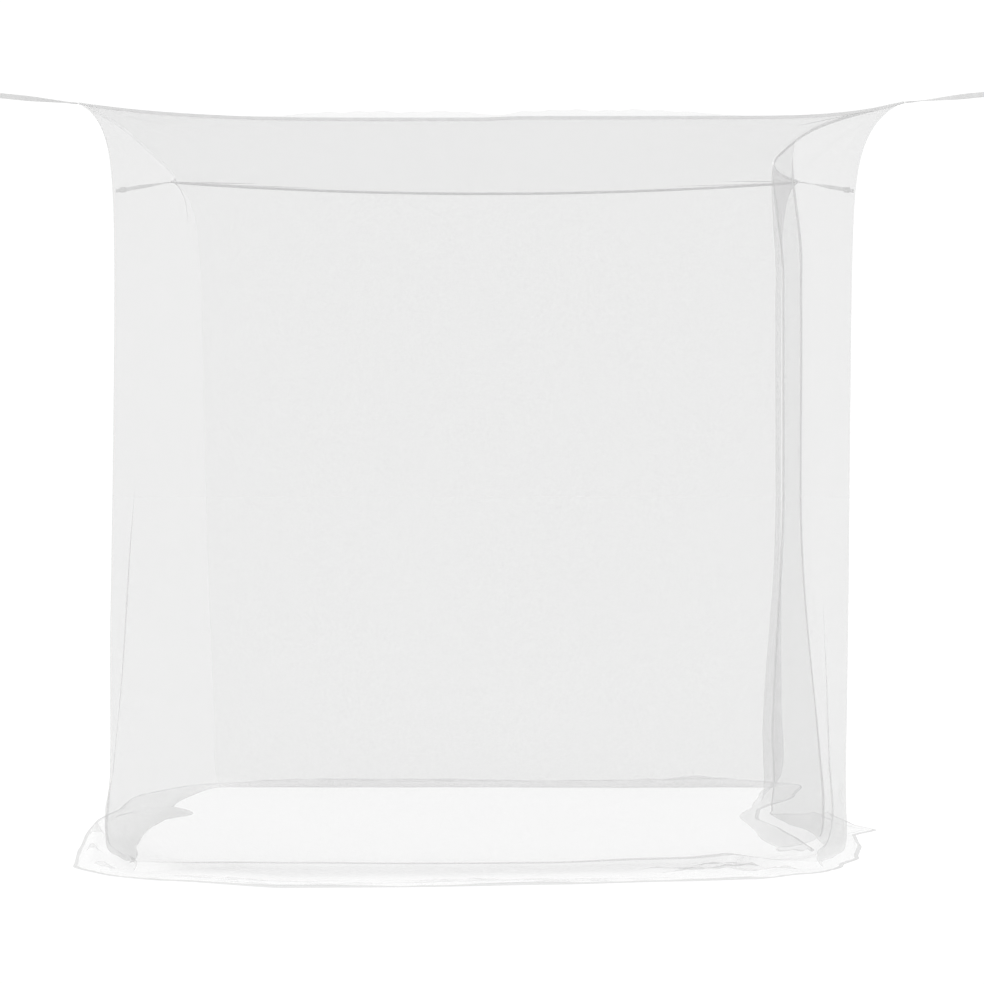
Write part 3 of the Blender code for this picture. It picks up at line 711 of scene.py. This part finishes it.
FRONT_LEAF_CREASES = (
    # top,   floor, starts, wide,  deep
    (0.700, 0.780, 0.05, 0.070, 0.012),
    (0.860, 0.820, 0.35, 0.060, -0.003),
    (0.840, 0.810, 0.90, 0.014, 0.006),
    (0.965, 0.965, 1.15, 0.020, -0.006),
)
REAR_LEAF_CREASES = (
    # top,   floor, starts, wide,  deep
    (0.150, 0.180, 0.30, 0.060, 0.007),
    (0.420, 0.400, 0.40, 0.060, -0.005),
    (0.700, 0.780, 0.05, 0.070, 0.012),
)
LEAF_RIDGES = (
    # from the hem, wide, tall, wander, pitch, from, to
    (0.018, 0.008, 0.0050, 0.004, 25.0, 0.02, 0.95),
    (0.060, 0.011, 0.0060, 0.008, 19.0, 0.02, 0.92),
)
FRONT_LEAF_LUMPS = (
    # where, from the hem, long, wide, tall
    (0.480, 0.080, 0.040, 0.020, 0.014),
    (0.780, 0.060, 0.060, 0.020, 0.007),
)
REAR_LEAF_LUMPS = (
    # where, from the hem, long, wide, tall
    (0.520, 0.060, 0.040, 0.014, 0.010),
    (0.620, 0.080, 0.030, 0.014, 0.012),
)


def behind_front_leaf(t, drop):
    """How far inside the front leaf the rear leaf hangs."""
    overlap = eased((t - 0.35 * MEETS) / (0.60 * MEETS))
    below = (LEAF_APART - LEAF_SEAM_STEP) * eased((drop - 0.01) / 0.5)
    return overlap * (LEAF_SEAM_STEP + below)


def swings_forward(t, drop):
    """How far forward the rear leaf's free edge swings as it falls."""
    return LEAF_SWINGS * (t / ENDS) ** 2 * (drop / HANG) ** 4


def rear_edge_curls(t, drop):
    """How far in the rear leaf's free edge curls, so that its hem turns to the front."""
    return REAR_CURL * eased(1.0 - (ENDS - t) / HEM_CURL) * eased(drop / CURL_GROWS)


def front_edge_curls(t, drop):
    """The same for the front leaf, whose free edge curls outwards."""
    return FRONT_CURL * eased(1.0 - (t - MEETS) / HEM_CURL) * eased(drop / CURL_GROWS)


front_leaf_points = wall_points(
    "right", (FRONT_LEAF_STARTS, SIDE_CELLS), (False, True), FRONT_LEAF_FOOT, FRONT_LEAF_CREASES,
    LEAF_RIDGES, FRONT_LEAF_LUMPS, phase=5.2, columns=200, curled=front_edge_curls,
)
rear_leaf_points = wall_points(
    "right", (0, REAR_LEAF_ENDS), (True, False), REAR_LEAF_FOOT, REAR_LEAF_CREASES,
    LEAF_RIDGES, REAR_LEAF_LUMPS, phase=5.2, columns=210,
    behind=behind_front_leaf, curled=rear_edge_curls, swung=swings_forward,
)
for node, points, share, cover, free_last in (
    ("right_front_leaf", front_leaf_points, 1.0 - MEETS, 0.24, False),
    ("right_rear_leaf", rear_leaf_points, ENDS, 0.225, True),
):
    width = round(2.0 * HALF_DEPTH * share, 3)
    leaf = sheet_object(f"{node}_cloth", points, width, from_last=free_last)
    leaf.data.materials.append(netting(f"netting_{node}", cover, free_edge=True))
    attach(leaf, "root")
    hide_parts(node)

# ---------------------------------------------------------------- roof panel
# One rectangle of the same mesh, stretched to four points by the ties and sewn to the
# walls all round. It sags a little, and folds fan out over it from the points.
ROOF_ACROSS, ROOF_DEEP = 181, 151
SEAM_INSIDE, ROOF_LIFT = 0.0014, 0.0018
FAN_TALL, FAN_PITCH, FAN_NEAR, FAN_REACH, FAN_FROM_EDGE = 0.006, 17.0, 0.12, 0.22, 0.10


def edge_line(side, count):
    """The roof's edge along a side, just inside the walls and over the seam line."""
    t = stops(side, count)
    inside = SEAM_INSIDE + 0.0 * t
    if side == "right":
        inside = inside + behind_front_leaf(t, 0.0 * t) * eased((ENDS + 0.04 - t) / 0.04)
    plan = hang(side, t, 0.0 * t) - side_ways(side)[0] * inside[:, None]
    return np.concatenate([plan, (seam_height(side, t) + ROOF_LIFT)[:, None]], axis=1)


front_edge, back_edge = edge_line("front", ROOF_ACROSS), edge_line("back", ROOF_ACROSS)[::-1]
right_edge, left_edge = edge_line("right", ROOF_DEEP), edge_line("left", ROOF_DEEP)[::-1]
across = stops("front", ROOF_ACROSS)[:, None, None]
deep = stops("right", ROOF_DEEP)[None, :, None]
near_corners = front_edge[0] * (1 - across) + front_edge[-1] * across
far_corners = back_edge[0] * (1 - across) + back_edge[-1] * across
roof_points = back_edge[:, None] * (1 - deep) + front_edge[:, None] * deep
roof_points = roof_points + right_edge[None, :] * (1 - across) + left_edge[None, :] * across
roof_points = roof_points - far_corners * (1 - deep) - near_corners * deep
to_side = np.minimum(across, 1 - across) * 2.0 * HALF_WIDTH
to_edge = np.minimum(to_side, np.minimum(deep, 1 - deep) * 2.0 * HALF_DEPTH)[..., 0]
for tip in TIPS.values():
    away = roof_points[..., :2] - np.array(tip[:2])
    reach = np.linalg.norm(away, axis=-1)
    angle = np.arctan2(away[..., 1], away[..., 0])
    fan = FAN_TALL * np.sin(FAN_PITCH * angle) * (reach / FAN_NEAR) * np.exp(-reach / FAN_REACH)
    roof_points[..., 2] += fan * eased(to_edge / FAN_FROM_EDGE)
roof = sheet_object("roof_panel_cloth", roof_points, 2.0 * HALF_WIDTH)
roof.data.materials.append(netting("netting_roof", 0.34, lies=False))
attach(roof, "root")
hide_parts("roof_panel")

# ---------------------------------------------------------------- binding
# A woven tape 10 mm wide, in four lengths, sewn round the roof seam with two rows of
# stitches. Its edges are turned in a little, so that 8 mm shows, and it tapers into the points.
TAPE_SHADE, TAPE_LIGHT = (0.70, 0.70, 0.70), (0.78, 0.78, 0.78)
BINDING_CUT, BINDING_TALL, BINDING_THICK, BINDING_NEAR = 0.010, 0.008, 0.0016, 0.0014
BINDING_TAPERS, BINDING_POINT = 0.05, 0.35
TAPE_STITCH_HALF, TAPE_STITCHES_PER_METRE, TAPE_STITCH_GAP = 0.0004, 300.0, 0.35
TAPE_ROWS, TAPE_STITCH_RELIEF, TAPE_RELIEF = (0.14, 0.86), 1.5, 0.5
RIB_PITCH, RIB_DEEP, WARP_PITCH, WARP_DEEP = 0.0011, 0.5, 0.0013, 0.3
WEAR_SIZE, WEAR_SPREAD, RIB_SPREAD = 40.0, 0.12, 0.06
SELVEDGE_ACROSS, SELVEDGE_THROUGH = 0.6, 0.35
BINDING_DENSE = {"right": 0.45, "front": 0.85, "left": 0.08, "back": 0.60}


def tape_finish(name, wide, dense, stitched):
    """Plain woven tape: ribs run across it, and a row of stitches near each edge. dense is
    the share of the light that it stops."""
    finish = Finish(name, roughness=0.8)
    place, along, over = finish.cloth_place()
    ribs = along.wave(RIB_PITCH) * RIB_DEEP + over.wave(WARP_PITCH) * WARP_DEEP
    wear = finish.noise(place, WEAR_SIZE, 3.0)
    relief = ribs
    if stitched:
        for share in TAPE_ROWS:
            edge = share * wide
            row = stitches(along, over, edge, TAPE_STITCH_HALF, TAPE_STITCHES_PER_METRE, TAPE_STITCH_GAP)
            relief = relief + row * TAPE_STITCH_RELIEF
    uneven = ribs * RIB_SPREAD + (wear - 0.5) * WEAR_SPREAD
    finish.set("Alpha", (dense + uneven * dense).least(1.0))
    finish.set("Base Color", finish.tint(wear, TAPE_SHADE, TAPE_LIGHT))
    finish.set("Normal", finish.bump(relief, TAPE_RELIEF, RELIEF_TALL))
    return finish.material


def ribbon(name, rings, lengths, wide):
    """A closed tape from rings of points, with its map in metres along it and over it."""
    count, round_ = rings.shape[:2]
    index = np.arange(count * round_).reshape(count, round_)
    turn = np.roll(index, -1, axis=1)
    quads = np.stack([index[:-1], turn[:-1], turn[1:], index[1:]], axis=-1).reshape(-1, 4).tolist()
    ends = [index[0][::-1].tolist(), index[-1].tolist()]
    mesh = bpy.data.meshes.new(name)
    mesh.from_pydata(rings.reshape(-1, 3).tolist(), [], quads + ends)
    over = np.abs(np.linspace(-1.0, 1.0, round_, endpoint=False)) * wide
    return mapped_object(mesh, np.stack([np.repeat(lengths, round_), np.tile(over, count)], axis=-1))


def tape_section(wide, thick, points=12):
    """A flat oval: the middle of the tape is even and its selvedges are round."""
    angle = np.linspace(0.0, 2.0 * math.pi, points, endpoint=False) + math.pi
    across = np.sign(np.cos(angle)) * np.abs(np.cos(angle)) ** SELVEDGE_ACROSS * wide / 2.0
    through = np.sign(np.sin(angle)) * np.abs(np.sin(angle)) ** SELVEDGE_THROUGH * thick / 2.0
    return across, through


for side, dense in BINDING_DENSE.items():
    t = stops(side, 220)
    line = hang(side, t, 0.0 * t)
    ways = np.gradient(line, axis=0)
    ways /= np.linalg.norm(ways, axis=1)[:, None]
    out = np.stack([-ways[:, 1], ways[:, 0]], axis=1)
    lengths = np.concatenate([[0.0], np.cumsum(np.linalg.norm(np.diff(line, axis=0), axis=1))])
    ends = window(lengths, 0.0, lengths[-1], BINDING_TAPERS)
    over, through = tape_section(BINDING_TALL, BINDING_THICK)
    off_wall = BINDING_NEAR + BINDING_THICK / 2.0 + through
    share = BINDING_POINT + (1.0 - BINDING_POINT) * ends
    rings = np.empty((len(t), len(over), 3))
    rings[..., :2] = line[:, None] + out[:, None] * off_wall[None, :, None]
    rings[..., 2] = (seam_height(side, t) - 0.1 * BINDING_TALL)[:, None] + over * share[:, None]
    binding = ribbon(f"binding_{side}_tape", rings, lengths, BINDING_TALL)
    binding.data.materials.append(tape_finish(f"binding_{side}", BINDING_TALL, dense, stitched=True))
    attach(binding, "root")
    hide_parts(f"binding_{side}")

# ---------------------------------------------------------------- ties
# Four lengths of woven tape, 13 mm wide, one sewn to each point. Each is held taut, turns
# on edge along its way, and ends beyond the view in a knot with a short cut end.
TIE_WIDE, TIE_THICK, TIE_REACH, TIE_FALL = 0.013, 0.0016, 0.300, 0.020
TIE_STATIONS = (
    # at,   wide, thick, turn in degrees
    (0.00, 1.00, 1.8, 0),
    (0.05, 1.00, 1.8, 0),
    (0.07, 1.00, 1.0, 0),
    (0.16, 1.00, 1.0, 8),
    (0.26, 0.94, 1.0, 24),
    (0.36, 0.90, 1.0, 46),
    (0.46, 0.94, 1.0, 68),
    (0.56, 1.00, 1.0, 86),
    (0.62, 1.00, 1.0, 90),
    (0.80, 1.00, 1.0, 90),
    (0.815, 1.10, 5.0, 90),
    (0.84, 1.40, 9.0, 90),
    (0.865, 1.20, 7.0, 90),
    (0.89, 1.45, 9.5, 90),
    (0.915, 1.05, 5.0, 90),
    (0.93, 0.90, 1.2, 90),
    (1.00, 1.00, 1.0, 90),
)
KNOT_FROM, KNOT_TO, KNOT_FADE = 0.80, 0.93, 0.02
KNOT_TURN, KNOT_RELIEF = 0.035, 0.10
TIE_DENSE, TIE_RINGS = 0.9, 150
tie_material = tape_finish("tie_tape", TIE_WIDE, TIE_DENSE, stitched=False)
for tip, row in TIPS.items():
    node = f"tie_{tip}"
    low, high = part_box(node)
    level = np.array([math.copysign(1.0, row[0]), math.copysign(1.0, row[1]), 0.0]) / math.sqrt(2.0)
    way = level - np.array([0.0, 0.0, TIE_FALL])
    way /= np.linalg.norm(way)
    sideways = np.array([-level[1], level[0], 0.0])
    near_x = low[0] if row[0] > 0 else high[0]
    start = (abs(near_x - row[0]) + TIE_WIDE / 2.0 * abs(sideways[0])) / abs(way[0])
    stations = np.array(TIE_STATIONS)
    at = np.unique(np.concatenate([np.linspace(0.0, 1.0, TIE_RINGS), stations[:, 0]]))
    wide, thick, turn = (np.interp(at, stations[:, 0], stations[:, i]) for i in (1, 2, 3))
    knotted = window(at, KNOT_FROM, KNOT_TO, KNOT_FADE)
    rings = []
    for s, w, h, degrees, knot in zip(at, wide, thick, turn, knotted):
        angle = math.radians(degrees)
        flat = sideways * math.cos(angle) + np.cross(way, sideways) * math.sin(angle)
        face = np.cross(way, flat)
        over, through = tape_section(TIE_WIDE * w, TIE_THICK * h)
        round_ = 2.0 * math.pi * np.arange(len(over)) / len(over)
        turned = 2.0 * math.pi * (s - KNOT_FROM) / KNOT_TURN
        wrap = 1.0 + KNOT_RELIEF * knot * np.sin(turned + round_)
        centre = np.array(row[:3]) + way * (start + s * (TIE_REACH - start))
        rings.append(centre + np.outer(over * wrap, flat) + np.outer(through * wrap, face))
    tie = ribbon(f"{node}_tape", np.array(rings), start + at * (TIE_REACH - start), TIE_WIDE)
    tie.data.materials.append(tie_material)
    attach(tie, "root")
    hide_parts(node)

# ---------------------------------------------------------------- floor and light
# A plain white floor that runs to the horizon, lit so brightly that it glows, under an
# even white sky of the same brightness and one large soft lamp from above and in front.
FLOOR_REACH = 60.0
FLOOR_SHADE, FLOOR_LIGHT = (0.13, 0.13, 0.13), (0.15, 0.15, 0.15)
FLOOR_GLOW = 0.895
SKY = 1.05
LAMP_STRENGTH, LAMP_SOFT, LAMP_TILT, LAMP_SIDE = 0.25, 40.0, 28.0, -18.0
FLOOR_CORNERS = ((-1, -1), (1, -1), (1, 1), (-1, 1))
floor_mesh = bpy.data.meshes.new("floor")
floor_points = [(x * FLOOR_REACH, y * FLOOR_REACH, 0.0) for x, y in FLOOR_CORNERS]
floor_mesh.from_pydata(floor_points, [], [(0, 1, 2, 3)])
floor = bpy.data.objects.new("floor", floor_mesh)
bpy.context.collection.objects.link(floor)
floor_finish = Finish("floor_paper", roughness=1.0)
floor_place = floor_finish.add("ShaderNodeTexCoord", {}, {}).output("Object")
floor_tone = floor_finish.noise(floor_place, 2.0, 2.0)
floor_finish.set("Base Color", floor_finish.tint(floor_tone, FLOOR_SHADE, FLOOR_LIGHT))
floor_finish.set("Emission Color", (1.0, 1.0, 1.0, 1.0))
floor_finish.set("Emission Strength", FLOOR_GLOW)
floor_finish.set("Specular IOR Level", 0.0)
floor_mesh.materials.append(floor_finish.material)

world = bpy.data.worlds.new("sky")
world.use_nodes = True
world.node_tree.nodes["Background"].inputs["Color"].default_value = (1.0, 1.0, 1.0, 1.0)
world.node_tree.nodes["Background"].inputs["Strength"].default_value = SKY
bpy.context.scene.world = world
lamp = bpy.data.lights.new("soft_lamp", "SUN")
lamp.energy = LAMP_STRENGTH
lamp.angle = math.radians(LAMP_SOFT)
lamp_object = bpy.data.objects.new("soft_lamp", lamp)
lamp_object.rotation_euler = (math.radians(LAMP_TILT), math.radians(LAMP_SIDE), 0.0)
bpy.context.collection.objects.link(lamp_object)
bpy.context.scene.view_settings.view_transform = "Standard"
bpy.context.scene.cycles.transparent_max_bounces = 48
